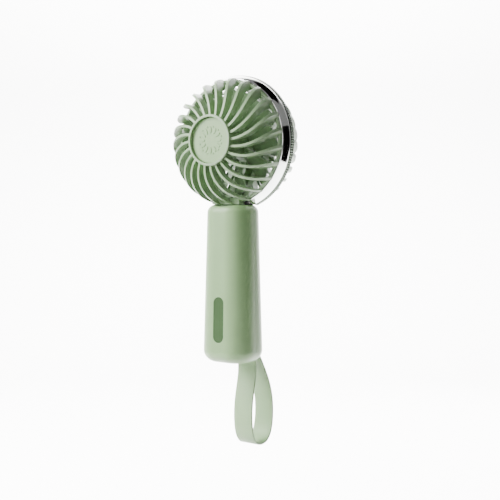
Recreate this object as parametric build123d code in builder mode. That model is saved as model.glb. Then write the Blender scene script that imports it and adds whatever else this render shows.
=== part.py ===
"""Handheld electric fan: a finned cage with a C-shaped trim ring on a tapered, battery-powered grip.

Millimetres. +X is the fan's left-to-right as its face is seen, -Y is the way it blows, +Z is up.
The origin is on the grip's axis, half way up the grip. A wrist strap hangs from a bar at the back of the foot.
"""

import os
from math import atan2, cos, degrees, hypot, radians, sin

from build123d import *

# ---------------------------------------------------------------- driving dimensions: grip
grip_length = 108.0
width_taper, depth_taper = 5.4, 5.0  # how much narrower and thinner the grip is at its top
foot_corner, neck_end_corner = 15.0, 13.5
foot_round, shoulder_round = 8.0, 5.5
wall = 1.8
top_wall = 3.0
seam_gap = 0.1
lip_height = 1.0
slip = 0.2  # clearance between a piece and the pocket it drops into
running = 0.3  # clearance round a piece that moves

# ---------------------------------------------------------------- driving dimensions: head
head_set_back = 1.8  # the cage's parting plane stands this far behind the grip's axis
saddle_sink = 0.8  # how far the cage sits down into the top of the grip
rim_radius, rim_wall = 42.0, 2.0
fin_reach = 1.3  # how far the fins bulge past the rim
hub_wall, hub_margin = 1.6, 2.6  # the cage's hubs are wider than the impeller's by the margin
cap_thickness = 1.8
cap_sink = 2.2
front_depth, rear_depth = 29.6, 30.0
front_fins, rear_fins = 24, 30
front_fin_thickness, rear_fin_thickness = 1.6, 1.7
fin_sweep = 24.0  # degrees that a fin turns on its way out
fin_depth = 6.2  # at the hub, along the fan's axis
hub_depth, hub_web = 10.5, 2.0
fin_foot = 6.0  # height above the parting plane where the fins start
rim_front = 7.2
ring_width, ring_front = 9.7, 5.6
ring_flare, ring_front_wall, ring_step = 4.1, 0.9, 2.4
ring_gap_angle = 21.0  # half the ring's opening, each side of straight down

# ---------------------------------------------------------------- driving dimensions: drive
motor_radius, motor_length = 12.2, 16.0
motor_face = -4.5  # the can's front face, from the parting plane
shaft_radius = 1.0
blade_count, blade_radius, blade_thickness = 9, 35.0, 1.3
impeller_hub_wall, impeller_hub_gap = 1.5, 0.4
impeller_nose = 15.2

# ---------------------------------------------------------------- driving dimensions: strap
strap_width, strap_thickness = 15.4, 1.6
strap_drop, strap_lean, strap_bulge = 69.0, 9.4, 14.2
bar_radius = 1.5
bar_back, bar_height = 1.6, 5.6  # bar axis: in from the grip's back, up from its foot

# ---------------------------------------------------------------- driving dimensions: inside the grip
cell_radius, cell_length = 9.2, 65.0
cell_bottom = 16.0  # above the foot
board_thickness, board_width = 1.2, 19.0
board_top_gap = 20.0  # from the top of the grip down to the board
part_room, switch_room = 3.2, 5.25  # in front of the board and behind it
board_bottom = 18.0
button_width, button_height, button_rise = 8.0, 15.0, 0.6
button_travel = 0.5
button_drop = 30.0  # from the top of the grip to the button's centre
port_rise = 30.0  # from the foot to the charging port's centre
light_count, light_pitch, light_radius = 4, 4.0, 0.8
light_drop = 43.0
pill_width, pill_height, pill_thickness = 8.2, 31.0, 1.0
pill_rise = 30.0  # from the foot to the pill's centre
screw_radius, screw_head_radius, screw_head_height = 1.0, 1.9, 1.2
post_radius = 3.0
post_gap, post_side_gap = 1.1, 1.2  # from the posts to the cell and to the grip's side
lower_post_rise, upper_post_drop, upper_post_x = 20.0, 15.5, 7.5
wire_radius = 0.6

# ---------------------------------------------------------------- worked-out places
cell_high_share = (cell_bottom + cell_length) / grip_length
stack = 2 * wall + slip + 2 * cell_radius + part_room + board_thickness + switch_room
foot_depth = stack + depth_taper * cell_high_share
foot_width = 2 * (cell_radius + post_gap + 2 * post_radius + post_side_gap + wall) + width_taper * lower_post_rise / grip_length
neck_end_width, neck_end_depth = foot_width - width_taper, foot_depth - depth_taper
cell_forward = (foot_depth - depth_taper * cell_high_share) / 2 - wall - slip - cell_radius
board_back = cell_radius - cell_forward + part_room + board_thickness
board_length = grip_length - board_bottom - board_top_gap
impeller_hub_radius = motor_radius + running + impeller_hub_gap + impeller_hub_wall
hub_radius = impeller_hub_radius + hub_margin
foot_z, top_z = -grip_length / 2, grip_length / 2
head_z = top_z + rim_radius + fin_reach - saddle_sink
head_centre = Vector(0, head_set_back, head_z)
face_plane = Plane(origin=head_centre, x_dir=(1, 0, 0), z_dir=(0, -1, 0))  # looks the way the fan blows
section_plane = Plane(origin=head_centre, x_dir=(1, 0, 0), z_dir=(0, 0, -1))  # x is radius, y is forward
head_axis = Axis(head_centre, (0, -1, 0))


def grip_share(z):
    """0 at the foot, 1 at the top of the grip."""
    return (z - foot_z) / grip_length


def grip_half_width(z):
    return (foot_width + (neck_end_width - foot_width) * grip_share(z)) / 2


def grip_half_depth(z):
    return (foot_depth + (neck_end_depth - foot_depth) * grip_share(z)) / 2


def grip_corner(z):
    return foot_corner + (neck_end_corner - foot_corner) * grip_share(z)


def grip_solid(inset, top_inset):
    """The grip's outside, or the same form set in by a wall."""
    low, high = foot_z + inset, top_z - top_inset
    with BuildPart() as body:
        for z in (low, high):
            with BuildSketch(Plane.XY.offset(z)):
                RectangleRounded(
                    2 * (grip_half_width(z) - inset),
                    2 * (grip_half_depth(z) - inset),
                    grip_corner(z) - inset,
                )
        loft()
        fillet(body.faces().sort_by(Axis.Z)[0].edges(), foot_round - inset)
        fillet(body.faces().sort_by(Axis.Z)[-1].edges(), shoulder_round - inset)
    return body.part


def write(piece, name):
    piece.label = name
    export_step(piece, f"parts/{name}.step")
    return piece


def box_between(low, high):
    """A box from its lowest corner to its highest, outside any builder."""
    size = [b - a for a, b in zip(low, high)]
    middle = [(a + b) / 2 for a, b in zip(low, high)]
    return Pos(*middle) * Box(*size, mode=Mode.PRIVATE)


os.makedirs("parts", exist_ok=True)

# ================================================================ head: cage
fin_tip = rim_radius + fin_reach
fin_root = hub_radius - 0.8 * hub_wall
rim_inner = rim_radius - rim_wall
sweep_end = (fin_tip * cos(radians(fin_sweep)), fin_tip * sin(radians(fin_sweep)))


def fin_band(depth, crown):
    """Revolved band that the fins are cut from: a dome outside, room for the impeller inside."""
    top = depth - 1.6
    inner_root = top - fin_depth
    inner_tip = rim_inner - 1.4
    with BuildPart() as band:
        with BuildSketch(section_plane):
            with BuildLine():
                Bezier((fin_root, top), (fin_tip - crown, top - 0.6), (fin_tip, fin_foot + 0.6))
                Line((fin_tip, fin_foot + 0.6), (fin_tip, fin_foot))
                Line((fin_tip, fin_foot), (inner_tip, fin_foot))
                Bezier((inner_tip, fin_foot), (inner_tip - 1.1, inner_root - 0.5), (fin_root, inner_root))
                Line((fin_root, inner_root), (fin_root, top))
            make_face()
        revolve(axis=head_axis)
    return band.part


def fin_blades(count, thickness, height, turn):
    """Curved blades standing straight up from the parting plane."""
    with BuildPart() as blades:
        with BuildSketch(face_plane):
            with PolarLocations(0, count):
                with BuildLine(mode=Mode.PRIVATE) as path:
                    TangentArc((fin_root - 1.0, 0), (sweep_end[0], turn * sweep_end[1]), tangent=(1, 0))
                SlotArc(path.edge(), thickness)
        extrude(amount=height)
    return blades.part


def rim_band(height):
    """The cage half's outer rim, from the parting plane."""
    with BuildPart() as rim:
        with BuildSketch(face_plane):
            Circle(rim_radius)
            Circle(rim_inner, mode=Mode.SUBTRACT)
        extrude(amount=height)
        fillet(rim.edges().filter_by(GeomType.CIRCLE).sort_by(head_axis)[-2:], 0.4)
    return rim.part


# ---------------------------------------------------------------- neck, shared by both cage halves
neck_width, flange_width = 22.0, 26.0
flange_thickness, flange_reach = 2.3, rim_front - 3.0
neck_bottom = top_z - 10.0
neck_top = head_z - rim_inner
flange_top = top_z - top_wall - slip
neck_screw_x, neck_screw_z = neck_width / 2 - 3.5, top_z - 7.0
wire_spread = 0.9
wire_y = head_set_back + 4.2


def neck_half(front):
    """One half of the tongue that the grip's shells clamp. It widens into a flange under their top wall."""
    near, far = (-rim_front, 0) if front else (0, rim_front)
    stem = box_between(
        (-neck_width / 2, head_set_back + near, neck_bottom),
        (neck_width / 2, head_set_back + far, neck_top - 0.4),
    )
    flange_near, flange_far = (-flange_reach, 0) if front else (0, flange_reach)
    flange = box_between(
        (-flange_width / 2, head_set_back + flange_near, flange_top - flange_thickness),
        (flange_width / 2, head_set_back + flange_far, flange_top),
    )
    return stem + flange


pedestal_front = 8.5  # how far in front of the grip's axis the cage's foot reaches
pedestal_block = box_between(
    (-neck_width / 2, -pedestal_front, top_z + slip), (neck_width / 2, head_set_back - 1.0, neck_top + 3.0)
)
pedestal_hollow = Pos(*head_centre) * Rot(90, 0, 0) * Cylinder(rim_inner - 1.4, 60, mode=Mode.PRIVATE)
pedestal = pedestal_block - pedestal_hollow

# ---------------------------------------------------------------- front grille
front_blades = fin_blades(front_fins, front_fin_thickness, front_depth, 1)
front_band = fin_band(front_depth, 2.0)
cage_rim = rim_band(rim_front)
recess_radius = hub_radius - hub_wall
hub_back = front_depth - 1.6 - hub_depth
with BuildPart() as front_grille:
    add(front_blades)
    add(front_band, mode=Mode.INTERSECT)
    with BuildSketch(face_plane.offset(hub_back)):
        Circle(hub_radius)
    extrude(amount=hub_depth + 1.6)
    fillet(front_grille.edges().filter_by(GeomType.CIRCLE).sort_by(head_axis)[-1:], 0.5)
    with BuildSketch(face_plane.offset(front_depth)):
        Circle(recess_radius)
    extrude(amount=-(cap_thickness + cap_sink), mode=Mode.SUBTRACT)
    with BuildSketch(face_plane.offset(hub_back)):
        Circle(recess_radius - 1.0)
        Circle(3.5, mode=Mode.SUBTRACT)
    extrude(amount=hub_depth + 1.6 - cap_thickness - cap_sink - hub_web, mode=Mode.SUBTRACT)
    with BuildSketch(face_plane.offset(hub_back)):
        Circle(2.0 + slip / 2)
    extrude(amount=hub_depth + 1.6, mode=Mode.SUBTRACT)
    add(cage_rim)
    add(neck_half(front=True))
    add(pedestal)
    with BuildSketch(face_plane):
        Circle(rim_inner)
    extrude(amount=fin_foot, mode=Mode.SUBTRACT)
    with Locations(
        Location((neck_screw_x, head_set_back - 3.5, neck_screw_z), (90, 0, 0)),
        Location((-neck_screw_x, head_set_back - 3.5, neck_screw_z), (90, 0, 0)),
    ):
        Cylinder(screw_radius, 7.0, mode=Mode.SUBTRACT)
write(front_grille.part, "front_grille")

# ---------------------------------------------------------------- hub cap with a plain ring of petals
petal_count, petal_ring = 12, 6.8
cap_face = front_depth - cap_sink
with BuildPart() as hub_cap:
    with BuildSketch(face_plane.offset(cap_face - cap_thickness)):
        Circle(recess_radius - slip)
    extrude(amount=cap_thickness)
    fillet(hub_cap.edges().filter_by(GeomType.CIRCLE).sort_by(head_axis)[-1:], 0.5)
    with BuildSketch(face_plane.offset(cap_face)):
        with PolarLocations(petal_ring, petal_count):
            Ellipse(2.2, 0.95)
        with PolarLocations(petal_ring + 2.3, petal_count, start_angle=180 / petal_count):
            Circle(0.5)
    extrude(amount=0.3)
    with BuildSketch(face_plane.offset(cap_face - cap_thickness)):
        Circle(2.0)
    extrude(amount=-5.0)
write(hub_cap.part, "hub_cap")

# ---------------------------------------------------------------- rear grille
back_plane = Plane(origin=head_centre, x_dir=(1, 0, 0), z_dir=(0, 1, 0))
motor_back = motor_face - motor_length
plate_thickness = 2.0
rear_hub_front = motor_back + 6.0
motor_screw_x = 8.0
terminal_drop = 8.2
strut_half_width, strut_half_depth = 3.2, 2.6
lead_back = head_set_back - motor_back + plate_thickness + 1.4
strut_start = Vector(0, lead_back - 0.8, head_z - recess_radius + 0.6)
strut_end = Vector(0, head_set_back + rim_front - 0.6, head_z - rim_inner - 0.2)
lug_count = 6


def along_strut(half_width, half_depth, reach):
    """A bar on the line from the rear hub down to the neck, where the motor's leads run."""
    line = strut_end - strut_start
    tilt = degrees(atan2(line.Y, -line.Z))
    middle = (strut_start + strut_end) * 0.5
    return Pos(*middle) * Rot(tilt, 0, 0) * Box(2 * half_width, 2 * half_depth, line.length + reach, mode=Mode.PRIVATE)


parting = Plane.XZ.offset(-head_set_back)
rear_blades = mirror(fin_blades(rear_fins, rear_fin_thickness, rear_depth, 1), about=parting)
rear_band = mirror(fin_band(rear_depth, 1.0), about=parting)
rear_rim = mirror(cage_rim, about=parting)

with BuildPart() as rear_body:
    add(rear_blades)
    add(rear_band, mode=Mode.INTERSECT)
    with BuildSketch(face_plane.offset(rear_hub_front)):
        Circle(hub_radius)
    extrude(amount=-(rear_depth + rear_hub_front))
    fillet(rear_body.edges().filter_by(GeomType.CIRCLE).sort_by(head_axis)[:1], 0.5)
    add(rear_rim)
    add(neck_half(front=False))
    add(along_strut(strut_half_width, strut_half_depth, 0))
    with BuildSketch(back_plane):
        Circle(rim_inner)
    extrude(amount=fin_foot - 0.6, mode=Mode.SUBTRACT)
    with BuildSketch(face_plane.offset(rear_hub_front)):
        Circle(motor_radius + slip / 2)
    extrude(amount=-6.0, mode=Mode.SUBTRACT)
    with BuildSketch(face_plane.offset(-rear_depth)):
        Circle(recess_radius)
    extrude(amount=rear_depth + motor_back - plate_thickness, mode=Mode.SUBTRACT)
    with BuildSketch(face_plane.offset(motor_back)):
        Circle(3.6)
        with GridLocations(2 * motor_screw_x, 0, 2, 1):
            Circle(screw_radius + slip)
        with Locations((0, -terminal_drop)):
            Rectangle(4.4, 3.4)
    extrude(amount=-plate_thickness, mode=Mode.SUBTRACT)
    add(along_strut(2.0, 1.4, 12.0), mode=Mode.SUBTRACT)
    add(box_between((-2.0, wire_y - 1.6, neck_bottom - 1), (2.0, wire_y + 1.6, neck_top + 1)), mode=Mode.SUBTRACT)
    with Locations(
        Location((neck_screw_x, head_set_back + 3.5, neck_screw_z), (90, 0, 0)),
        Location((-neck_screw_x, head_set_back + 3.5, neck_screw_z), (90, 0, 0)),
    ):
        Cylinder(screw_radius + slip / 2, 9.0, mode=Mode.SUBTRACT)
    with BuildSketch(back_plane.offset(-3.0)):
        with PolarLocations(rim_inner - 0.7, lug_count):
            Rectangle(1.0, 6.0)
    extrude(amount=3.0 + rim_front)
write(rear_body.part, "rear_grille")

# ---------------------------------------------------------------- cover behind the motor
with BuildPart() as rear_hub_cover:
    with BuildSketch(face_plane.offset(-rear_depth)):
        Circle(recess_radius - slip)
    extrude(amount=cap_thickness)
    fillet(rear_hub_cover.edges().filter_by(GeomType.CIRCLE).sort_by(head_axis)[:1], 0.5)
write(rear_hub_cover.part, "rear_hub_cover")

# ================================================================ trim ring, open where the grip is
ring_inner = rim_radius + slip
ring_back = ring_front - ring_width
groove_at = ring_front - 0.62 * ring_width
ring_turn = 360 - 2 * ring_gap_angle


def ring_section(grow):
    """Half-section of the ring: smooth taper, a fine groove, then a flared band."""
    smooth_outer = ring_inner + ring_front_wall + ring_step
    with BuildSketch(section_plane) as section:
        with BuildLine():
            Polyline(
                (ring_inner, ring_front + grow),
                (ring_inner + ring_front_wall - 0.3, ring_front + grow),
                (ring_inner + ring_front_wall, ring_front - 0.3),
                (smooth_outer, groove_at + 0.35),
                (smooth_outer - 0.5, groove_at + 0.2),
                (smooth_outer - 0.5, groove_at - 0.2),
                (smooth_outer + 0.2, groove_at - 0.35),
                (ring_inner + ring_flare, ring_back + 0.4),
                (ring_inner + ring_flare - 0.4, ring_back - grow),
                (ring_inner, ring_back - grow),
                close=True,
            )
        make_face()
    return section.sketch


down_axis = Axis(head_centre, (0, 0, -1))
ring_face = ring_section(0)
with BuildPart() as trim_ring:
    add(ring_face.rotate(head_axis, ring_gap_angle - 90))
    revolve(axis=head_axis, revolution_arc=ring_turn)
write(trim_ring.part, "trim_ring")

# ---------------------------------------------------------------- dark ends of the ring
grip_outside = grip_solid(0, 0)
grip_clear = grip_solid(-0.15, -0.15)
end_angle = 4.2
right_start = ring_gap_angle - 90 - 0.3 - end_angle
left_start = -ring_gap_angle - 90 + 0.3
with BuildPart() as ring_end:
    with BuildSketch(section_plane):
        with Locations((ring_inner + 1.2, (ring_front + ring_back) / 2)):
            RectangleRounded(2.4, ring_width - 1.0, 0.8)
    revolve(axis=head_axis, revolution_arc=end_angle)
for name, start in (("ring_end_right", right_start), ("ring_end_left", left_start)):
    with BuildPart() as ring_end_trimmed:
        add(ring_end.part.rotate(head_axis, start))
        add(grip_clear, mode=Mode.SUBTRACT)
    write(ring_end_trimmed.part, name)

# ================================================================ drive
can_front = face_plane.offset(motor_face)
can_back = face_plane.offset(motor_back)
bush_radius, bush_length = 3.0, 2.4
bush_proud = 1.0
fit = 0.04  # radial clearance of a shaft in its bush
can_wall = 1.0

with BuildPart() as motor_can:
    with BuildSketch(can_front):
        Circle(motor_radius)
    extrude(amount=-motor_length + 1.2)
    with BuildSketch(can_front.offset(-can_wall)):
        Circle(motor_radius - can_wall)
    extrude(amount=-motor_length, mode=Mode.SUBTRACT)
    fillet(motor_can.edges().filter_by(GeomType.CIRCLE).sort_by(head_axis)[-1:], 0.8)
    with BuildSketch(can_front):
        Circle(bush_radius)
    extrude(amount=-can_wall, mode=Mode.SUBTRACT)
write(motor_can.part, "motor_can")

with BuildPart() as motor_end_cap:
    with BuildSketch(can_back):
        Circle(motor_radius)
    extrude(amount=1.2)
    with BuildSketch(can_back.offset(1.2)):
        Circle(motor_radius - can_wall - 0.05)
    extrude(amount=1.0)
    with BuildSketch(can_back):
        Circle(bush_radius)
        with GridLocations(2 * motor_screw_x, 0, 2, 1):
            Circle(screw_radius)
    extrude(amount=3.0, mode=Mode.SUBTRACT)
    with BuildSketch(can_back):
        with Locations((-wire_spread, -terminal_drop), (wire_spread, -terminal_drop)):
            Rectangle(0.6, 2.0)
    extrude(amount=-1.6)
write(motor_end_cap.part, "motor_end_cap")

for name, plane, length in (
    ("motor_bush_front", can_front.offset(bush_proud), bush_length),
    ("motor_bush_rear", can_back.offset(2.2), bush_length),
):
    with BuildPart() as bush:
        with BuildSketch(plane):
            Circle(bush_radius)
            Circle(shaft_radius + fit, mode=Mode.SUBTRACT)
        extrude(amount=-length)
    write(bush.part, name)

magnet_inner, magnet_outer = 8.6, motor_radius - can_wall
with BuildPart() as motor_magnets:
    with BuildSketch(can_front.offset(-2.0)):
        Circle(magnet_outer)
        Circle(magnet_inner, mode=Mode.SUBTRACT)
        Rectangle(2 * motor_radius, 7.0, mode=Mode.SUBTRACT)
    extrude(amount=-9.6)
write(motor_magnets.part, "motor_magnets")

rotor_radius, slot_count = magnet_inner - running, 3
with BuildPart() as motor_rotor:
    with BuildSketch(can_front.offset(-3.0)):
        Circle(rotor_radius)
        with PolarLocations(rotor_radius - 2.2, slot_count, start_angle=30):
            Rectangle(5.4, 1.3, mode=Mode.SUBTRACT)
            Circle(1.5, mode=Mode.SUBTRACT)
        Circle(shaft_radius, mode=Mode.SUBTRACT)
    extrude(amount=-7.6)
write(motor_rotor.part, "motor_rotor")

nut_thickness = 1.5
with BuildPart() as motor_shaft:
    with BuildSketch(can_back.offset(0.4)):
        Circle(shaft_radius)
    extrude(amount=impeller_nose + nut_thickness + 0.2 - motor_back - 0.4)
write(motor_shaft.part, "motor_shaft")


def pan_screw(plane, shank):
    """Small pan-head screw: the head stands on the plane, the shank goes in behind it."""
    with BuildPart() as screw:
        with BuildSketch(plane):
            Circle(screw_head_radius)
        extrude(amount=screw_head_height)
        fillet(screw.faces().sort_by(Axis(plane.origin, plane.z_dir))[-1].edges(), 0.4)
        with BuildSketch(plane.offset(screw_head_height)):
            RectangleRounded(2.2, 0.5, 0.1)
            RectangleRounded(0.5, 2.2, 0.1)
        extrude(amount=-0.6, mode=Mode.SUBTRACT)
        with BuildSketch(plane):
            Circle(screw_radius)
        extrude(amount=-shank)
    return screw.part


def write_group(pieces, name):
    with BuildPart() as group:
        for piece in pieces:
            add(piece)
    return write(group.part, name)


motor_screw_plane = Plane(
    origin=head_centre + Vector(0, -motor_back + plate_thickness, 0), x_dir=(1, 0, 0), z_dir=(0, 1, 0)
)
write_group(
    [pan_screw(motor_screw_plane, plate_thickness + 2.0).translate((x, 0, 0)) for x in (-motor_screw_x, motor_screw_x)],
    "motor_screws",
)

# ---------------------------------------------------------------- impeller
hub_open = motor_back + 8.0
boss_radius = 2.6
root_chord, tip_chord = 19.0, 24.0
root_pitch, tip_pitch = 52.0, 31.0
blade_middle = 0.5
hub_inner = impeller_hub_radius - impeller_hub_wall


def blade_section(radius, chord, pitch, thickness):
    """A blade's section on a plane square to the radius, pitched from the spin direction."""
    place = Plane(origin=head_centre + Vector(radius, -blade_middle, 0), x_dir=(0, 0, 1), z_dir=(1, 0, 0))
    with BuildSketch(place) as section:
        RectangleRounded(chord, thickness, 0.49 * thickness, rotation=pitch)
    return section.sketch


blade_rows = [
    blade_section(impeller_hub_radius - 0.8, root_chord, root_pitch, blade_thickness + 0.5),
    blade_section((impeller_hub_radius + blade_radius) / 2, (root_chord + tip_chord) / 2, 40.0, blade_thickness + 0.2),
    blade_section(blade_radius + 2.0, tip_chord, tip_pitch, blade_thickness),
]
with BuildPart() as one_blade:
    for row in blade_rows:
        add(row)
    loft()
with BuildPart() as blade_limit:
    with BuildSketch(face_plane.offset(-12.0)):
        Circle(blade_radius)
        Circle(impeller_hub_radius - 0.5, mode=Mode.SUBTRACT)
    extrude(amount=26.0)
with BuildPart() as impeller:
    with BuildSketch(section_plane):
        with BuildLine():
            Polyline(
                (hub_inner, hub_open),
                (impeller_hub_radius, hub_open),
                (impeller_hub_radius, impeller_nose - 5.5),
            )
            RadiusArc((impeller_hub_radius, impeller_nose - 5.5), (impeller_hub_radius - 5.5, impeller_nose), -5.5)
            Polyline(
                (impeller_hub_radius - 5.5, impeller_nose),
                (shaft_radius, impeller_nose),
                (shaft_radius, motor_face + bush_proud + running),
                (boss_radius, motor_face + bush_proud + running),
                (boss_radius, impeller_nose - impeller_hub_wall),
                (hub_inner - 4.5, impeller_nose - impeller_hub_wall),
                (hub_inner, impeller_nose - 6.0),
                (hub_inner, hub_open),
            )
        make_face()
    revolve(axis=head_axis)
    for step in range(blade_count):
        add((one_blade.part & blade_limit.part).rotate(head_axis, 360 / blade_count * step))
write(impeller.part, "impeller")

with BuildPart() as impeller_nut:
    with BuildSketch(face_plane.offset(impeller_nose)):
        RegularPolygon(2.6, 6)
        Circle(shaft_radius, mode=Mode.SUBTRACT)
    extrude(amount=nut_thickness)
write(impeller_nut.part, "impeller_nut")

# ---------------------------------------------------------------- screws through the neck
neck_screw_plane = Plane(origin=(0, head_set_back + rim_front, neck_screw_z), x_dir=(1, 0, 0), z_dir=(0, 1, 0))
write_group(
    [pan_screw(neck_screw_plane, rim_front + 5.0).translate((x, 0, 0)) for x in (-neck_screw_x, neck_screw_x)],
    "neck_screws",
)

# ================================================================ grip
cavity = grip_solid(wall, top_wall)
lip_zone = grip_solid(wall / 2, (wall + top_wall) / 3)
lip_groove = grip_solid(wall / 2 - 0.1, (wall + top_wall) / 3 - 0.1)
big = 2 * grip_length
lip_slab = box_between((-big, -1.0, -big), (big, lip_height, big))
groove_slab = box_between((-big, 0, -big), (big, lip_height + 0.2, big))
front_side = box_between((-big, -big, -big), (big, -seam_gap / 2, big))
rear_side = box_between((-big, seam_gap / 2, -big), (big, big, big))
flange_low = flange_top - flange_thickness
stem_slot = box_between(
    (-neck_width / 2 - slip, head_set_back - rim_front - slip, flange_low - 0.1),
    (neck_width / 2 + slip, head_set_back + rim_front + slip, top_z + 1),
)
flange_pocket = box_between(
    (-flange_width / 2 - slip, head_set_back - flange_reach - slip, flange_low - slip),
    (flange_width / 2 + slip, head_set_back + flange_reach + slip, flange_top + slip),
)
saddle_cut = Pos(*head_centre) * Rot(90, 0, 0) * Cylinder(fin_tip + 0.5, 60, mode=Mode.PRIVATE)


def shelf(side, low_y, high_y):
    """Ledge under one side of the neck's flange."""
    inner, outer = side * (neck_width / 2 + slip), side * big
    low, high = min(inner, outer), max(inner, outer)
    ledge = box_between((low, low_y, flange_low - slip - 1.6), (high, high_y, flange_low - slip))
    return ledge & lip_zone


def post(x, z, low_y, high_y, radius=post_radius):
    """Round post along Y, kept inside the grip's skin."""
    middle = (low_y + high_y) / 2
    bar = Pos(x, middle, z) * Rot(90, 0, 0) * Cylinder(radius, high_y - low_y, mode=Mode.PRIVATE)
    return bar & lip_zone


def bore(x, z, low_y, high_y, radius):
    middle = (low_y + high_y) / 2
    return Pos(x, middle, z) * Rot(90, 0, 0) * Cylinder(radius, high_y - low_y, mode=Mode.PRIVATE)


upper_post = (upper_post_x, top_z - upper_post_drop)
lower_post = (cell_radius + post_gap + post_radius, foot_z + lower_post_rise)
post_places = [(s * x, z) for x, z in (upper_post, lower_post) for s in (-1, 1)]
screw_seat = 9.6  # how far behind the axis the shell screws' heads sit

# ---------------------------------------------------------------- pill on the front
pill_z = foot_z + pill_rise


def pill_block(grow):
    with BuildPart() as block:
        with BuildSketch(Plane(origin=(0, 0, pill_z), x_dir=(1, 0, 0), z_dir=(0, -1, 0))):
            SlotOverall(pill_height + 2 * grow, pill_width + 2 * grow, rotation=90)
        extrude(amount=foot_depth)
    return block.part


pill_skin = grip_outside - grip_solid(pill_thickness, pill_thickness)
pill_pocket_skin = grip_outside - grip_solid(pill_thickness + 0.1, pill_thickness + 0.1)
with BuildPart() as pill_inlay:
    add(pill_block(0))
    add(pill_skin, mode=Mode.INTERSECT)
write(pill_inlay.part, "pill_inlay")

cell_low, cell_high = foot_z + cell_bottom, foot_z + cell_bottom + cell_length
cell_stops = [
    box_between((-6.0, -foot_depth, cell_low - 2.5), (6.0, -5.0, cell_low - 1.0)) & lip_zone,
    box_between((-6.0, -foot_depth, cell_high + 1.0), (6.0, -5.0, cell_high + 2.5)) & lip_zone,
]
with BuildPart() as front_shell:
    add(grip_outside)
    add(cavity, mode=Mode.SUBTRACT)
    for side in (-1, 1):
        add(shelf(side, -7.5, 0))
    for x, z in post_places:
        add(post(x, z, -foot_depth, 0))
    add(cell_stops)
    add(front_side, mode=Mode.INTERSECT)
    add((lip_zone - cavity) & lip_slab)
    add(stem_slot, mode=Mode.SUBTRACT)
    add(flange_pocket, mode=Mode.SUBTRACT)
    add(saddle_cut, mode=Mode.SUBTRACT)
    add(pill_block(0.1) & pill_pocket_skin, mode=Mode.SUBTRACT)
    for x, z in post_places:
        add(bore(x, z, -8.0, 2.0, screw_radius), mode=Mode.SUBTRACT)
write(front_shell.part, "front_shell")

# ---------------------------------------------------------------- rear shell and what shows through it
board_low = foot_z + board_bottom
board_front = board_back - board_thickness
button_z = top_z - button_drop
port_z = foot_z + port_rise
light_z = top_z - light_drop
button_face = grip_half_depth(button_z) + button_rise
button_inner = grip_half_depth(button_z + button_height / 2 + 1.5) - wall - 0.3
light_places = [((n - (light_count - 1) / 2) * light_pitch, light_z) for n in range(light_count)]
board_screw_places = [(-6.5, -4.0), (6.5, -4.0)]
bar_y = grip_half_depth(foot_z) - bar_back
bar_z = foot_z + bar_height
notch_half = strap_width / 2 + 0.8
cheek = 2.2
notch_reach = bar_radius + strap_thickness + 2.1
port_width, port_height = 8.94, 3.26


def slot_bar(plane, length, width, amount, rotation=0):
    with BuildPart() as bar:
        with BuildSketch(plane):
            SlotOverall(length, width, rotation=rotation)
        extrude(amount=amount)
    return bar.part


def back_at(x, y, z):
    """A plane that faces backward, its x axis along the fan's left-to-right."""
    return Plane(origin=(x, y, z), x_dir=(1, 0, 0), z_dir=(0, 1, 0))


button_hole = slot_bar(back_at(0, 0, button_z), button_height + 0.3, button_width + 0.3, foot_depth, 90)
port_hole = slot_bar(back_at(0, board_back, port_z), port_width + 0.3, port_height + 0.3, foot_depth)
pocket_block = box_between(
    (-notch_half - cheek, bar_y - notch_reach - 1.8, foot_z),
    (notch_half + cheek, foot_depth, bar_z + notch_reach + 1.6),
)
notch = box_between(
    (-notch_half, bar_y - notch_reach, foot_z - 5), (notch_half, foot_depth, bar_z + notch_reach)
)
bar_bore = Pos(0, bar_y, bar_z) * Rot(0, 90, 0) * Cylinder(bar_radius + 0.03, 2 * notch_half + 3.6, mode=Mode.PRIVATE)

with BuildPart() as rear_shell:
    add(grip_outside)
    add(cavity, mode=Mode.SUBTRACT)
    add(pocket_block & lip_zone)
    add(rear_side, mode=Mode.INTERSECT)
    add(lip_groove & groove_slab, mode=Mode.SUBTRACT)
    for side in (-1, 1):
        add(shelf(side, lip_height + 0.3, 10.0))
    for x, z in post_places:
        add(post(x, z, seam_gap / 2, foot_depth))
    for x, z in board_screw_places:
        add(post(x, z, board_back, foot_depth, 2.0))
    add(stem_slot, mode=Mode.SUBTRACT)
    add(flange_pocket, mode=Mode.SUBTRACT)
    add(saddle_cut, mode=Mode.SUBTRACT)
    add(notch, mode=Mode.SUBTRACT)
    add(bar_bore, mode=Mode.SUBTRACT)
    add(button_hole, mode=Mode.SUBTRACT)
    add(port_hole, mode=Mode.SUBTRACT)
    for x, z in light_places:
        add(bore(x, z, board_back, foot_depth, light_radius + 0.05), mode=Mode.SUBTRACT)
    for x, z in board_screw_places:
        add(bore(x, z, board_back - 1, board_back + 3.4, screw_radius), mode=Mode.SUBTRACT)
    for x, z in post_places:
        add(bore(x, z, -1, foot_depth, screw_radius + slip / 2), mode=Mode.SUBTRACT)
        add(bore(x, z, screw_seat, foot_depth, screw_head_radius + slip), mode=Mode.SUBTRACT)
write(rear_shell.part, "rear_shell")

write_group([pan_screw(back_at(x, screw_seat, z), screw_seat + 6.0) for x, z in post_places], "shell_screws")

with BuildPart() as strap_bar:
    with BuildSketch(Plane(origin=(-notch_half - 1.7, bar_y, bar_z), x_dir=(0, 1, 0), z_dir=(1, 0, 0))):
        Circle(bar_radius)
    extrude(amount=2 * notch_half + 3.4)
write(strap_bar.part, "strap_bar")

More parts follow.
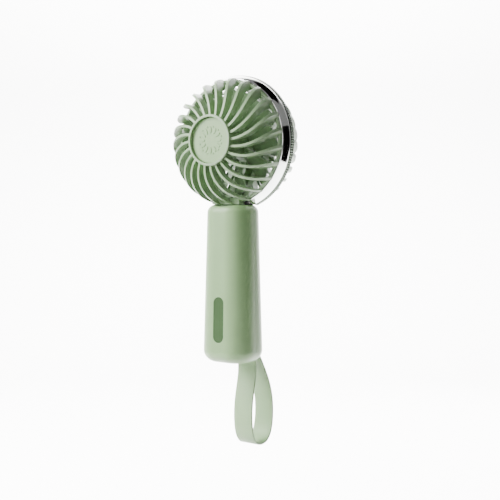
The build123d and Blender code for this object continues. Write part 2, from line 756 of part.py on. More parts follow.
# ---------------------------------------------------------------- button, with the stem that reaches the switch
switch_size, switch_height, plunger_radius = 4.2, 1.8, 1.0
switch_back = board_back + switch_height
plunger_tip = switch_back + 0.6
with BuildPart() as power_button:
    with BuildSketch(back_at(0, button_inner, button_z)):
        SlotOverall(button_height, button_width, rotation=90)
    extrude(amount=button_face - button_inner)
    fillet(power_button.faces().sort_by(Axis.Y)[-1].edges(), 0.6)
    with BuildSketch(back_at(0, button_inner, button_z)):
        SlotOverall(button_height + 2.4, button_width + 2.4, rotation=90)
    extrude(amount=-0.6)
    with BuildSketch(back_at(0, button_inner, button_z)):
        Circle(1.6)
    extrude(amount=-(button_inner - plunger_tip))
    with BuildSketch(back_at(0, button_face, button_z)):
        Circle(2.2)
        Circle(1.6, mode=Mode.SUBTRACT)
        Rectangle(1.3, 6.0, align=(Align.CENTER, Align.MAX), rotation=180, mode=Mode.SUBTRACT)
    extrude(amount=-0.2, mode=Mode.SUBTRACT)
write(power_button.part, "power_button")

with BuildPart() as tact_switch:
    with BuildSketch(back_at(0, board_back, button_z)):
        RectangleRounded(switch_size, switch_size, 0.3)
    extrude(amount=switch_height)
    with BuildSketch(back_at(0, board_back + 0.3, button_z)):
        Circle(plunger_radius + 0.05)
    extrude(amount=switch_height, mode=Mode.SUBTRACT)
write(tact_switch.part, "tact_switch")

with BuildPart() as switch_plunger:
    with BuildSketch(back_at(0, plunger_tip, button_z)):
        Circle(plunger_radius)
    extrude(amount=-(plunger_tip - board_back - 0.3 - button_travel - 0.1))
write(switch_plunger.part, "switch_plunger")

# ---------------------------------------------------------------- lights
with BuildPart() as leds:
    for x, z in light_places:
        with BuildSketch(back_at(x, board_back, z)):
            RectangleRounded(1.6, 0.8, 0.1)
        extrude(amount=0.6)
write(leds.part, "leds")

light_bars = [bore(x, z, board_back + 0.8, foot_depth, light_radius) & grip_outside for x, z in light_places]
write_group(light_bars, "light_pipes")

# ---------------------------------------------------------------- board and its parts
with BuildPart() as main_board:
    with BuildSketch(back_at(0, board_front, board_low + board_length / 2)):
        RectangleRounded(board_width, board_length, 1.0)
    extrude(amount=board_thickness)
    for x, z in board_screw_places:
        add(bore(x, z, board_front - 1, board_back + 1, screw_radius + slip / 2), mode=Mode.SUBTRACT)
write(main_board.part, "main_board")

board_screw_planes = [
    Plane(origin=(x, board_front, z), x_dir=(1, 0, 0), z_dir=(0, -1, 0)) for x, z in board_screw_places
]
write_group([pan_screw(plane, board_thickness + 3.0) for plane in board_screw_planes], "board_screws")

shell_depth = grip_half_depth(port_z) - 0.4 - board_back
with BuildPart() as usb_c_shell:
    with BuildSketch(back_at(0, board_back, port_z)):
        SlotOverall(port_width, port_height)
    extrude(amount=shell_depth)
    with BuildSketch(back_at(0, board_back + 0.4, port_z)):
        SlotOverall(port_width - 0.6, port_height - 0.6)
    extrude(amount=shell_depth, mode=Mode.SUBTRACT)
write(usb_c_shell.part, "usb_c_shell")

with BuildPart() as usb_c_tongue:
    with BuildSketch(back_at(0, board_back + 0.4, port_z)):
        Rectangle(6.7, 0.7)
    extrude(amount=shell_depth - 1.2)
    with BuildSketch(back_at(0, board_back + 0.4, port_z)):
        SlotOverall(port_width - 0.7, port_height - 0.7)
    extrude(amount=0.8)
write(usb_c_tongue.part, "usb_c_tongue")


def chip(name, x, z, width, height, thickness, round_off):
    with BuildPart() as body:
        with BuildSketch(Plane(origin=(x, board_front, z), x_dir=(1, 0, 0), z_dir=(0, -1, 0))):
            RectangleRounded(width, height, round_off)
        extrude(amount=thickness)
        chamfer(body.faces().sort_by(Axis.Y)[0].edges(), 0.1)
    write(body.part, name)


chip("charge_chip", 0, port_z + 7, 4.0, 4.0, 0.9, 0.1)
chip("inductor", -5.5, port_z + 1, 4.2, 4.2, 2.0, 0.6)
chip("motor_driver_chip", 0, port_z + 36, 5.0, 4.0, 1.0, 0.1)
with BuildPart() as capacitors:
    for x, z in ((5.0, port_z + 3), (5.0, port_z - 1), (4.5, port_z + 36)):
        with BuildSketch(Plane(origin=(x, board_front, z), x_dir=(1, 0, 0), z_dir=(0, -1, 0))):
            RectangleRounded(2.0, 1.2, 0.1)
        extrude(amount=1.0)
write(capacitors.part, "capacitors")

# ---------------------------------------------------------------- cell
cell_middle = (0, -cell_forward)
with BuildPart() as cell:
    with BuildSketch(Plane.XY.offset(cell_low)):
        with Locations(cell_middle):
            Circle(cell_radius)
    extrude(amount=cell_length)
    fillet(cell.edges().filter_by(GeomType.CIRCLE), 0.6)
write(cell.part, "cell")

with BuildPart() as cell_tabs:
    for z, way in ((cell_high, 1), (cell_low, -1)):
        with BuildSketch(Plane.XY.offset(z)):
            with Locations((0, -cell_forward + 2.0)):
                RectangleRounded(5.0, 10.0, 0.4)
        extrude(amount=0.3 * way)
write(cell_tabs.part, "cell_tabs")

# ---------------------------------------------------------------- leads


def lead(name, x, route, bends):
    """Insulated wire in a plane square to X: straight runs joined by arcs."""
    points = [(x, y, z) for y, z in route]
    start = Vector(*points[0])
    with BuildPart() as wire:
        with BuildLine() as path:
            FilletPolyline(*points, radius=bends)
        with BuildSketch(Plane(origin=start, z_dir=Vector(*points[1]) - start)):
            Circle(wire_radius)
        sweep(path=path.wire())
    write(wire.part, name)


lead_y = board_front - 1.7
top_lead_z = cell_high + 0.35 + wire_radius
lead(
    "cell_lead_positive",
    2.0,
    [(-2.5, top_lead_z), (lead_y, top_lead_z), (lead_y, top_lead_z - 4.5), (board_front - 0.02, top_lead_z - 4.5)],
    1.3,
)
low_lead_z = cell_low - 0.35 - wire_radius
lead(
    "cell_lead_negative",
    2.0,
    [(-2.5, low_lead_z), (lead_y, low_lead_z), (lead_y, low_lead_z + 5.5), (board_front - 0.02, low_lead_z + 5.5)],
    1.3,
)
strut_slope = (strut_end.Z - strut_start.Z) / (strut_end.Y - strut_start.Y)
terminal_z = head_z - terminal_drop
lead_turn_z = strut_start.Z + strut_slope * (lead_back - strut_start.Y)
neck_turn_z = strut_start.Z + strut_slope * (wire_y - strut_start.Y)
lead_route = [
    (head_set_back - motor_back + 1.65, terminal_z),
    (lead_back, terminal_z),
    (lead_back, lead_turn_z),
    (wire_y, neck_turn_z),
    (wire_y, board_low + board_length - 3.0),
    (board_front - 0.02, board_low + board_length - 3.0),
]
lead("motor_lead_positive", wire_spread, lead_route, 1.0)
lead("motor_lead_negative", -wire_spread, lead_route, 1.0)

# ================================================================ wrist strap
loop_radius = bar_radius + running + strap_thickness  # outside of the loop where it passes over the bar
strap_tilt = radians(30.0)  # from straight down, where it leaves the bar
strap_plane = Plane(origin=(strap_width / 2, bar_y, bar_z), x_dir=(0, 1, 0), z_dir=(1, 0, 0))


def off_bar(along, aside):
    """Section point: so far along the way the strap leaves the bar, and so far to its back."""
    return (
        along * sin(strap_tilt) + aside * cos(strap_tilt),
        -along * cos(strap_tilt) + aside * sin(strap_tilt),
    )


def strap_outline(inset):
    """Closed loop: over the bar, out along the back leg, round the bottom and up the front leg."""
    top, drop, bulge = loop_radius - inset, strap_drop - inset, strap_bulge - inset
    widest = -0.67 * strap_drop
    back, front = strap_lean + bulge, strap_lean - bulge
    corner = widest - 0.75 * (drop + widest)
    with BuildLine() as outline:
        ThreePointArc(off_bar(0, -top), off_bar(-top, 0), off_bar(0, top))
        Bezier(off_bar(0, top), off_bar(17, top), (back, widest + 20), (back, widest))
        Bezier((back, widest), (back, corner), (strap_lean + 0.6 * bulge, -drop), (strap_lean, -drop))
        Bezier((strap_lean, -drop), (strap_lean - 0.6 * bulge, -drop), (front, corner), (front, widest))
        Bezier((front, widest), (front, widest + 20), off_bar(17, -top), off_bar(0, -top))
    return outline.line


outer_outline, inner_outline = strap_outline(0), strap_outline(strap_thickness)
with BuildPart() as strap:
    with BuildSketch(strap_plane):
        with BuildLine():
            add(outer_outline)
        make_face()
        with BuildLine():
            add(inner_outline)
        make_face(mode=Mode.SUBTRACT)
    extrude(amount=-strap_width)
write(strap.part, "strap")
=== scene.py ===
"""Looks of the handheld electric fan: materials, the finer pieces, light and camera.

Metres, in the frame of the CAD. +Z is up and -Y is the way the fan blows.
mm() turns drawing sizes into metres.
"""

from math import cos, hypot, pi, radians, sin

import bmesh
import bpy
from mathutils import Matrix, Vector


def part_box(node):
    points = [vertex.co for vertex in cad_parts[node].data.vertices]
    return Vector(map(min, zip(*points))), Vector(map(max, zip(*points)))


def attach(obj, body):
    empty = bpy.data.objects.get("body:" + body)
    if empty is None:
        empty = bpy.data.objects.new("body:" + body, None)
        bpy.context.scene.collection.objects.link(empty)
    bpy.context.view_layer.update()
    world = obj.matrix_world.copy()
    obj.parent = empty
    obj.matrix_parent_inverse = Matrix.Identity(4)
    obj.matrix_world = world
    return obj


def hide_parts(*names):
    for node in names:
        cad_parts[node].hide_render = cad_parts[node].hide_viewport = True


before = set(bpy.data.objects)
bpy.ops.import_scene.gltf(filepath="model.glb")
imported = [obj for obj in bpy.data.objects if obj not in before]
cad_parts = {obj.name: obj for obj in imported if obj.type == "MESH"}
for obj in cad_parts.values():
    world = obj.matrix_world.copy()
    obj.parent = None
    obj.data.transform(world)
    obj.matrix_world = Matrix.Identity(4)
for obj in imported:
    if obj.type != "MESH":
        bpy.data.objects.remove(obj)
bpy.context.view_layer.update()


def mm(value):
    return value * 0.001


# ---------------------------------------------------------------- colour and material helpers
BEVEL_RAYS = 6
FLOW_MM, FLOW_TINT = 14.0, 0.03  # clouds in moulded plastic, and how far they shift its colour
SHEEN_MM, SHEEN_CHANGE = 3.0, 0.03  # patches of gloss on moulded plastic
BARE_SHEEN_MM, BARE_SHEEN_SHARE = 1.5, 0.15  # the same on metal, as a share of its roughness
GLOW_MM = (1.2, 1.5, 0.9)  # how deep red, green and blue light goes into green plastic


def linear(code):
    """sRGB hex to the linear values that shaders take."""
    parts = [int(code[n : n + 2], 16) / 255 for n in (1, 3, 5)]
    return [p / 12.92 if p <= 0.04045 else ((p + 0.055) / 1.055) ** 2.4 for p in parts] + [1.0]


def put(mat, kind, out=0, **inputs):
    """Adds a node, sets or links its inputs by name, and gives back one of its outputs.

    A name that starts with an underscore is one of the node's own settings.
    """
    node = mat.node_tree.nodes.new("ShaderNode" + kind)
    for name, value in inputs.items():
        if name.startswith("_"):
            setattr(node, name[1:], value)
            continue
        socket = node.inputs[name.replace("_", " ")]
        if isinstance(value, bpy.types.NodeSocket):
            mat.node_tree.links.new(value, socket)
        else:
            socket.default_value = value
    return node.outputs[out] if len(node.outputs) else None


def new_material(name):
    mat = bpy.data.materials.new(name)
    mat.use_nodes = True
    mat.node_tree.nodes.clear()
    return mat


def finish(mat, **inputs):
    """Principled surface to the output."""
    surface = put(mat, "BsdfPrincipled", **inputs)
    put(mat, "OutputMaterial", Surface=surface)
    return mat


def cloud(mat, size_mm, low=0.0, high=1.0):
    """Cloudy value between low and high, in patches about size_mm across."""
    place = put(mat, "TexCoord", out="Object")
    waves = put(mat, "TexNoise", Vector=place, Scale=1000.0 / size_mm, Detail=2.0, Roughness=0.5)
    return put(mat, "MapRange", Value=waves, To_Min=low, To_Max=high)


def grain(mat, size_mm, depth_mm, edge_mm):
    """Bump that a spark-eroded or brushed tool leaves, over edges rounded by edge_mm."""
    inputs = {"Height": cloud(mat, size_mm), "Distance": mm(depth_mm), "Strength": 1.0}
    if edge_mm:
        inputs["Normal"] = put(mat, "Bevel", _samples=BEVEL_RAYS, Radius=mm(edge_mm))
    return put(mat, "Bump", **inputs)


def moulded(name, colour, roughness, edge_mm=0.25, grain_mm=0.22, depth_mm=0.006, subsurface=0.0, ior=1.53):
    """Injection-moulded plastic: even colour, a faint cloud of flow, the tool's fine satin grain."""
    mat = new_material(name)
    base = Vector(linear(colour)[:3])
    dark, light = [*(base * (1 - FLOW_TINT)), 1.0], [*(base * (1 + FLOW_TINT)), 1.0]
    return finish(
        mat,
        Base_Color=put(mat, "MixRGB", Fac=cloud(mat, FLOW_MM), Color1=dark, Color2=light),
        Roughness=cloud(mat, SHEEN_MM, roughness - SHEEN_CHANGE, roughness + SHEEN_CHANGE),
        IOR=ior,
        Normal=grain(mat, grain_mm, depth_mm, edge_mm),
        Subsurface_Weight=subsurface,
        Subsurface_Radius=[mm(depth) for depth in GLOW_MM],
        Subsurface_Scale=1.0,
    )


def metal(name, colour, roughness, grain_mm=0.3, depth_mm=0.002, edge_mm=0.1, metallic=1.0):
    """Bare, rolled, turned or plated metal: its gloss varies a little from patch to patch."""
    mat = new_material(name)
    change = roughness * BARE_SHEEN_SHARE
    return finish(
        mat,
        Base_Color=linear(colour),
        Metallic=metallic,
        Roughness=cloud(mat, BARE_SHEEN_MM, roughness - change, roughness + change),
        Normal=grain(mat, grain_mm, depth_mm, edge_mm),
    )


# ---------------------------------------------------------------- materials of the pieces
MINT = "#84A571"
looks = {
    # ABS from a spark-eroded tool: satin, even mint, edges softly rounded
    "mint_abs": moulded("mint_abs", MINT, 0.46, subsurface=0.04),
    # the same ABS on the thin fins, with rounder edges, and a slightly lighter, greyer colour that is painted
    # light for the light the fins catch
    "mint_abs_cage_painted_light": moulded("mint_abs_cage_painted_light", "#8BA67E", 0.42, edge_mm=0.35, subsurface=0.04),
    # printed polyester film with matt lacquer, pressed into its recess: flat and darker, with little gloss
    "green_film": moulded("green_film", "#36502C", 0.45, edge_mm=0.1, grain_mm=0.1, depth_mm=0.002, ior=1.28),
    # chrome plate on polished ABS: near mirror, with a slow waviness from the plastic under it
    "chrome_plate": metal("chrome_plate", "#DDDFDC", 0.07, grain_mm=6.0, depth_mm=0.004, edge_mm=0.1),
    # chrome on the coin edge with a painted dark reflection: its colour is darkened to stand in for the dark
    # its teeth and notches mirror, and it is less sharp than the smooth band
    "dark_reflection_chrome": metal("dark_reflection_chrome", "#3E463C", 0.26, grain_mm=0.4, depth_mm=0.003, edge_mm=0.0),
    # near black satin on the ring's end pieces: a painted dark reflection, standing in for the chrome ends
    # mirroring dark surroundings
    "painted_reflection_black": moulded("painted_reflection_black", "#1C1E1B", 0.45),
    # ABS in a smoother tool, thin enough at the blades to let some light in
    "fan_abs": moulded("fan_abs", "#88A47C", 0.38, edge_mm=0.3, subsurface=0.05),
    # zinc-plated steel, drawn or rolled: bright grey
    "zinc_steel": metal("zinc_steel", "#B9B9B4", 0.25),
    # stamped silicon-steel sheets in a stack: dull grey
    "rotor_steel": metal("rotor_steel", "#6E6A66", 0.45),
    # sintered ferrite: near black, dull, only partly metallic to the eye
    "ferrite": metal("ferrite", "#2E2D2C", 0.6, metallic=0.3),
    # pressed and sintered bronze: brownish, with pores
    "sintered_bronze": metal("sintered_bronze", "#A5824E", 0.4, grain_mm=0.2, depth_mm=0.01),
    # moulded nylon and chip resin: black, satin
    "black_nylon": moulded("black_nylon", "#1A1A1A", 0.5, edge_mm=0.1),
    # moulded acetal: waxy off-white
    "white_acetal": moulded("white_acetal", "#DAD9D2", 0.3, edge_mm=0.1),
    # glossy lacquer over woven glass: the weave shows as a faint wave
    "solder_mask": moulded("solder_mask", "#1B5E33", 0.28, edge_mm=0.05, grain_mm=0.8, depth_mm=0.004),
    # fired ceramic: tan, slightly glossy
    "fired_ceramic": moulded("fired_ceramic", "#B79B76", 0.35, edge_mm=0.05),
    # polished acrylic, milky where the lamps shine into it
    "clear_acrylic": moulded("clear_acrylic", "#E4E6DF", 0.15, edge_mm=0.1),
    # heat-shrunk film round the cell: glossy blue, a little wavy
    "shrink_film": moulded("shrink_film", "#2B5A9B", 0.22, edge_mm=0.2, grain_mm=4.0, depth_mm=0.02),
    # rolled nickel strip
    "nickel_strip": metal("nickel_strip", "#C4BFB2", 0.3),
    # extruded silicone on the leads: smooth
    "red_insulation": moulded("red_insulation", "#B3231B", 0.4, edge_mm=0.05),
    "black_insulation": moulded("black_insulation", "#161616", 0.4, edge_mm=0.05),
    # moulded thermoplastic rubber: softer sheen than the shells
    "mint_rubber": moulded(
        "mint_rubber", "#9BB98B", 0.55, edge_mm=0.0, grain_mm=0.35, depth_mm=0.012, subsurface=0.06
    ),
}
# paper of the backdrop and flocked card of the flags: both without gloss
backdrop_paper = finish(new_material("backdrop_paper"), Base_Color=linear("#FBFBFA"), Roughness=0.95)
black_flock = finish(
    new_material("black_flock"), Base_Color=linear("#050505"), Roughness=1.0, Specular_IOR_Level=0.0
)

wearing = {
    "mint_abs": "front_shell rear_shell hub_cap rear_hub_cover power_button",
    # the grilles wear the slightly lighter copy of the mint ABS: painted light
    "mint_abs_cage_painted_light": "front_grille rear_grille",
    "green_film": "pill_inlay",
    "chrome_plate": "trim_ring",
    # the ring's ends in near black: painted dark reflection
    "painted_reflection_black": "ring_end_left ring_end_right",
    "fan_abs": "impeller",
    "zinc_steel": "motor_can motor_shaft motor_screws neck_screws shell_screws board_screws "
    "strap_bar impeller_nut usb_c_shell",
    "rotor_steel": "motor_rotor",
    "ferrite": "motor_magnets",
    "sintered_bronze": "motor_bush_front motor_bush_rear",
    "black_nylon": "motor_end_cap usb_c_tongue tact_switch charge_chip motor_driver_chip inductor",
    "white_acetal": "switch_plunger",
    "solder_mask": "main_board",
    "fired_ceramic": "capacitors",
    "clear_acrylic": "leds light_pipes",
    "shrink_film": "cell",
    "nickel_strip": "cell_tabs",
    "red_insulation": "cell_lead_positive motor_lead_positive",
    "black_insulation": "cell_lead_negative motor_lead_negative",
    "mint_rubber": "strap",
}


def wear(obj, mat):
    obj.data.materials.clear()
    obj.data.materials.append(mat)


for look, names in wearing.items():
    for name in names.split():
        wear(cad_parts[name], looks[look])


def mesh_piece(name, verts, faces, mat):
    """Smooth-shaded mesh with its faces turned outwards."""
    data = bpy.data.meshes.new(name)
    data.from_pydata([tuple(v) for v in verts], [], faces)
    data.validate()
    work = bmesh.new()
    work.from_mesh(data)
    bmesh.ops.recalc_face_normals(work, faces=work.faces)
    work.to_mesh(data)
    work.free()
    for polygon in data.polygons:
        polygon.use_smooth = True
    obj = bpy.data.objects.new(name, data)
    bpy.context.scene.collection.objects.link(obj)
    wear(obj, mat)
    return obj


# ---------------------------------------------------------------- trim ring with its coin edge
RING_GAP = radians(21.0)  # half of the opening at the bottom
RING_FLARE = mm(4.1)  # from the mouth's radius to the outer edge at the back
FRONT_WALL, RING_STEP = mm(0.9), mm(2.4)
GROOVE_SHARE = 0.62  # where the groove lies, from the front edge to the back
LIP_WIDE, LIP_DEEP = mm(0.98), mm(0.45)
CORNER = mm(0.25)
CROWN = mm(0.22)  # how far the smooth band and each row of teeth swell out
TEETH, STEPS_PER_TOOTH = 150, 6
TOOTH_ROWS, ROW_STEPS, BAND_STEPS = 2, 4, 8
NOTCH = mm(0.28)  # depth between two teeth
TOOTH_BLUNTNESS = 0.6

ring_low, ring_high = (Vector(corner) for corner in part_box("trim_ring"))
cap_low, cap_high = (Vector(corner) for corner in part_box("hub_cap"))
head_z = (cap_low.z + cap_high.z) / 2
ring_back, ring_front, ring_outer = ring_high.y, ring_low.y, ring_high.x
ring_inner = ring_outer - RING_FLARE
lip_outer = ring_inner + LIP_WIDE
smooth_outer = ring_inner + FRONT_WALL + RING_STEP
groove_y = ring_front + GROOVE_SHARE * (ring_back - ring_front)
band_from, band_to = ring_front + LIP_DEEP, groove_y - mm(0.5)
teeth_from, teeth_to = groove_y + mm(0.4), ring_back - mm(0.5)
teeth_inner = smooth_outer + mm(0.25)


def ring_profile(tooth):
    """Outline (radius, y) of one section. tooth runs from 0 in a notch to 1 on a crest."""
    depth = NOTCH * (1 - tooth)
    points = [
        (ring_inner, ring_front + CORNER),
        (ring_inner + mm(0.15), ring_front + mm(0.05)),
        (ring_inner + mm(0.45), ring_front),
        (ring_inner + mm(0.78), ring_front + mm(0.12)),
        (lip_outer, band_from),
    ]
    for step in range(1, BAND_STEPS + 1):
        share = step / BAND_STEPS
        radius = lip_outer + (smooth_outer - lip_outer) * share + CROWN * sin(pi * share)
        points.append((radius, band_from + (band_to - band_from) * share))
    points += [
        (smooth_outer - mm(0.08), groove_y - mm(0.3)),
        (smooth_outer - mm(0.6), groove_y - mm(0.22)),
        (smooth_outer - mm(0.6), groove_y + mm(0.1)),
        (teeth_inner - mm(0.15), groove_y + mm(0.22)),
    ]
    row_length = (teeth_to - teeth_from) / TOOTH_ROWS
    for row in range(TOOTH_ROWS):
        for step in range(ROW_STEPS + 1):
            share = step / ROW_STEPS
            y = teeth_from + (row + share) * row_length
            slope = (y - groove_y) / (ring_back - groove_y)
            base = teeth_inner + (ring_outer - teeth_inner - CROWN) * slope - depth
            points.append((base + CROWN * sin(pi * share) * (0.3 + 0.7 * tooth), y))
    points += [
        (ring_outer - mm(0.12) - depth, ring_back - mm(0.35)),
        (ring_outer - mm(0.4) - depth, ring_back - mm(0.05)),
        (ring_outer - mm(0.8), ring_back),
        (ring_inner + CORNER, ring_back),
        (ring_inner, ring_back - CORNER),
    ]
    return points


def make_ring():
    """The profile swept round the head axis, from one side of the gap to the other."""
    total = TEETH * STEPS_PER_TOOTH
    start, sweep = -pi / 2 + RING_GAP, 2 * pi - 2 * RING_GAP
    verts, faces = [], []
    for n in range(total + 1):
        phase = (n % STEPS_PER_TOOTH) / STEPS_PER_TOOTH
        tooth = (0.5 - 0.5 * cos(2 * pi * phase)) ** TOOTH_BLUNTNESS
        angle = start + sweep * n / total
        for radius, y in ring_profile(tooth):
            verts.append((radius * cos(angle), y, head_z + radius * sin(angle)))
    count = len(ring_profile(0))
    for n in range(total):
        for k in range(count):
            a, b = n * count + k, n * count + (k + 1) % count
            faces.append((a, b, b + count, a + count))
    faces.append(tuple(range(count)))
    faces.append(tuple(range(total * count, (total + 1) * count)))
    return mesh_piece("trim_ring_plated", verts, faces, looks["chrome_plate"])


def paint_dark_reflection_on_teeth(ring):
    """Paints a dark reflection on the coin edge, from the groove to the back, with the darker chrome."""
    ring.data.materials.append(looks["dark_reflection_chrome"])
    for polygon in ring.data.polygons:
        middle = polygon.center
        radius = hypot(middle.x, middle.z - head_z)
        on_edge = middle.y > groove_y - mm(0.3) and radius > ring_inner + mm(0.6)
        if on_edge and len(polygon.vertices) == 4:
            polygon.material_index = 1


ring = make_ring()
# darker colour on the coin edge: painted reflection
paint_dark_reflection_on_teeth(ring)
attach(ring, "body")
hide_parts("trim_ring")

# ---------------------------------------------------------------- wrist strap, moulded with rounded edges
STRAP_THICK, STRAP_DROP, STRAP_LEAN, STRAP_BULGE = mm(1.6), mm(69.0), mm(9.4), mm(14.2)
STRAP_TILT, BAR_RADIUS, BAR_GAP = radians(30.0), mm(1.5), mm(0.3)
WIDEST_SHARE = 0.67  # of the drop
CORNER_SHARE, FOOT_SHARE = 0.75, 0.6  # how far the lower curves reach before they turn
LEG_LIFT, BAR_PULL = mm(20), mm(17)  # how stiffly a leg leaves its widest place and the bar
EYE_STEPS, LEG_STEPS, FOOT_STEPS = 16, 36, 24
EDGE_ROUND, EDGE_STEPS = mm(0.5), 4

bar_low, bar_high = (Vector(corner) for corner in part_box("strap_bar"))
bar_y, bar_z = (bar_low.y + bar_high.y) / 2, (bar_low.z + bar_high.z) / 2
strap_low, strap_high = (Vector(corner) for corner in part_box("strap"))
strap_wide = strap_high.x - strap_low.x


def off_bar(along, aside):
    """Point in y and z from the bar, along the way the strap leaves it and to that way's side."""
    return (
        along * sin(STRAP_TILT) + aside * cos(STRAP_TILT),
        -along * cos(STRAP_TILT) + aside * sin(STRAP_TILT),
    )


def curve_points(a, b, c, d, count):
    """Points of a cubic curve, leaving out its last."""
    out = []
    for n in range(count):
        t = n / count
        u = 1 - t
        weights = (u**3, 3 * u * u * t, 3 * u * t * t, t**3)
        out.append(tuple(sum(w * point[axis] for w, point in zip(weights, (a, b, c, d))) for axis in (0, 1)))
    return out


def strap_centre_line():
    """Closed middle line of the band, in y and z from the bar."""
    eye = BAR_RADIUS + BAR_GAP + STRAP_THICK / 2
    drop, bulge = STRAP_DROP - STRAP_THICK / 2, STRAP_BULGE - STRAP_THICK / 2
    widest = -WIDEST_SHARE * STRAP_DROP
    corner = widest - CORNER_SHARE * (drop + widest)
    foot = (STRAP_LEAN, -drop)
    points = []
    for n in range(EYE_STEPS):
        angle = pi * n / EYE_STEPS
        points.append(off_bar(-eye * sin(angle), -eye * cos(angle)))

    def leg(side):
        """Ends and pulls of a leg, from the bar to its widest place. side is 1 behind, -1 in front."""
        y = STRAP_LEAN + side * bulge
        return off_bar(0, side * eye), off_bar(BAR_PULL, side * eye), (y, widest + LEG_LIFT), (y, widest)

    def turn(side):
        """Ends and pulls from a leg's widest place to the foot of the loop."""
        y = STRAP_LEAN + side * bulge
        return (y, widest), (y, corner), (STRAP_LEAN + side * FOOT_SHARE * bulge, -drop), foot

    points += curve_points(*leg(1), LEG_STEPS)
    points += curve_points(*turn(1), FOOT_STEPS)
    points += curve_points(*reversed(turn(-1)), FOOT_STEPS)
    points += curve_points(*reversed(leg(-1)), LEG_STEPS)
    return points


def strap_section():
    """Points round the band's section, across it and through it, with its edges rounded."""
    half, thick = strap_wide / 2 - EDGE_ROUND, STRAP_THICK / 2 - EDGE_ROUND
    section = []
    for quarter, (side_x, side_t) in enumerate(((1, 1), (-1, 1), (-1, -1), (1, -1))):
        for n in range(EDGE_STEPS + 1):
            angle = (quarter + n / EDGE_STEPS) * pi / 2
            across = side_x * half + EDGE_ROUND * cos(angle)
            through = side_t * thick + EDGE_ROUND * sin(angle)
            section.append((across, through))
    return section


def make_strap():
    path, section = strap_centre_line(), strap_section()
    verts, faces = [], []
    total, count = len(path), len(section)
    for n in range(total):
        before, after = path[n - 1], path[(n + 1) % total]
        run = Vector((after[0] - before[0], after[1] - before[1])).normalized()
        for x, out in section:
            verts.append((x, bar_y + path[n][0] - run.y * out, bar_z + path[n][1] + run.x * out))
    for n in range(total):
        for k in range(count):
            a, b = n * count + k, n * count + (k + 1) % count
            c, d = ((n + 1) % total) * count + (k + 1) % count, ((n + 1) % total) * count + k
            faces.append((a, b, c, d))
    return mesh_piece("strap_band", verts, faces, looks["mint_rubber"])


band = make_strap()
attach(band, "strap")
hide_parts("strap")

# ---------------------------------------------------------------- camera
CAMERA_TURN, CAMERA_RISE, CAMERA_FAR = radians(34.6), radians(2.6), 0.6
SENSOR_MM = 36.0
SEEN_WIDE = mm(345.5)  # width of the view at the origin
AIM_RIGHT, AIM_UP = mm(11.75), mm(22.8)

back = Vector((sin(CAMERA_TURN) * cos(CAMERA_RISE), -cos(CAMERA_TURN) * cos(CAMERA_RISE), sin(CAMERA_RISE)))
right = Vector((cos(CAMERA_TURN), sin(CAMERA_TURN), 0.0))
up = back.cross(right)


def make_camera():
    lens = bpy.data.cameras.new("camera")
    lens.sensor_width = SENSOR_MM
    lens.lens = SENSOR_MM * CAMERA_FAR / SEEN_WIDE
    lens.clip_start, lens.clip_end = 0.01, 20.0
    camera = bpy.data.objects.new("camera", lens)
    place = back * CAMERA_FAR + right * AIM_RIGHT + up * AIM_UP
    camera.matrix_world = Matrix.Translation(place) @ Matrix((right, up, back)).transposed().to_4x4()
    bpy.context.scene.collection.objects.link(camera)
    return camera


bpy.context.scene.camera = make_camera()

# ---------------------------------------------------------------- floor and light
FLOOR_Z, PAPER_HALF, PAPER_NEAR, PAPER_FAR, PAPER_TALL = -0.30, 4.0, -2.5, 1.9, 3.0
BEND, BEND_STEPS = 0.7, 12
flat_back = Vector((back.x, back.y, 0)).normalized()


def placed(aside, away, rise):
    """Point as seen from the camera: aside to its right, away behind the object, rise up."""
    return right * aside - flat_back * away + Vector((0, 0, rise))


def backdrop():
    """Floor that curves up into a wall far behind."""
    rows = [(PAPER_NEAR, FLOOR_Z), (PAPER_FAR - BEND, FLOOR_Z)]
    for step in range(1, BEND_STEPS + 1):
        angle = step / BEND_STEPS * pi / 2
        rows.append((PAPER_FAR - BEND + BEND * sin(angle), FLOOR_Z + BEND - BEND * cos(angle)))
    rows.append((PAPER_FAR, PAPER_TALL))
    turn = Matrix.Rotation(CAMERA_TURN, 4, "Z")
    verts = [turn @ Vector((side * PAPER_HALF, y, z)) for y, z in rows for side in (-1, 1)]
    faces = [(2 * n, 2 * n + 1, 2 * n + 3, 2 * n + 2) for n in range(len(rows) - 1)]
    obj = mesh_piece("backdrop", verts, faces, backdrop_paper)
    obj.visible_diffuse = False  # the paper's bounce would flatten the shading
    return obj


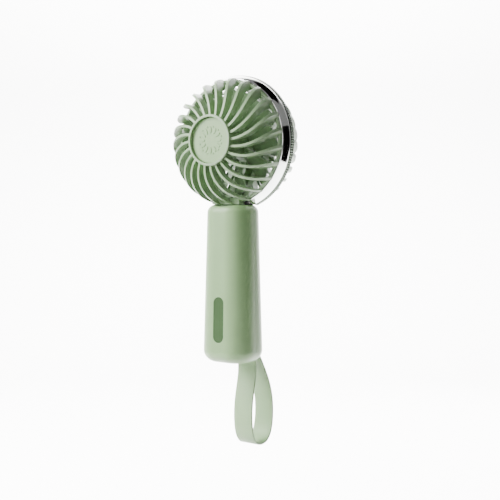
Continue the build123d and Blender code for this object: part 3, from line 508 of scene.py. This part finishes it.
def soft_box(name, where, size, power, aim=(0.0, 0.0, 0.04)):
    """Rectangular lamp of the given watts, at a place seen from the camera and turned to aim."""
    data = bpy.data.lights.new(name, "AREA")
    data.shape = "RECTANGLE"
    data.size, data.size_y = size
    data.energy = power
    light = bpy.data.objects.new(name, data)
    light.location = placed(*where)
    light.rotation_euler = (Vector(aim) - light.location).to_track_quat("-Z", "Y").to_euler()
    bpy.context.scene.collection.objects.link(light)
    return light


def flag(name, where, size, aim=(0.0, 0.0, 0.09), shade=False):
    """Black card. The plated ring mirrors it, or with shade it only darkens the side it stands at."""
    half, tall = size[0] / 2, size[1] / 2
    corners = [(-half, -tall, 0), (half, -tall, 0), (half, tall, 0), (-half, tall, 0)]
    card = mesh_piece(name, corners, [(0, 1, 2, 3)], black_flock)
    card.location = placed(*where)
    card.rotation_euler = (Vector(aim) - card.location).to_track_quat("Z", "Y").to_euler()
    card.visible_camera = False
    card.visible_shadow = False
    card.visible_diffuse = shade
    card.visible_glossy = not shade


paper = backdrop()
soft_box("key", (-0.92, -0.22, 0.60), (0.4, 0.9), 37.0)
soft_box("front_fill", (-0.9, -1.5, 0.6), (0.8, 1.0), 12.0)
soft_box("back_edge", (0.60, 0.85, 0.30), (0.25, 1.0), 5.0)

# this lamp lights the paper alone
wash = soft_box("paper_wash", (0.0, 0.5, 1.9), (2.4, 1.0), 800.0, aim=placed(0.0, 1.9, 0.1))
paper_only = bpy.data.collections.new("paper_only")
paper_only.objects.link(paper)
wash.light_linking.receiver_collection = paper_only

flag("flag_right", (0.60, -0.30, 0.08), (0.34, 0.60))
flag("flag_side", (0.95, -0.05, 0.0), (0.9, 1.2), aim=(0.0, 0.0, 0.0), shade=True)
flag("flag_top", (0.25, 0.10, 0.75), (0.5, 0.3))

world = bpy.data.worlds.new("studio")
world.use_nodes = True
world.node_tree.nodes["Background"].inputs["Color"].default_value = linear("#FFFFFF")
world.node_tree.nodes["Background"].inputs["Strength"].default_value = 0.28
bpy.context.scene.world = world
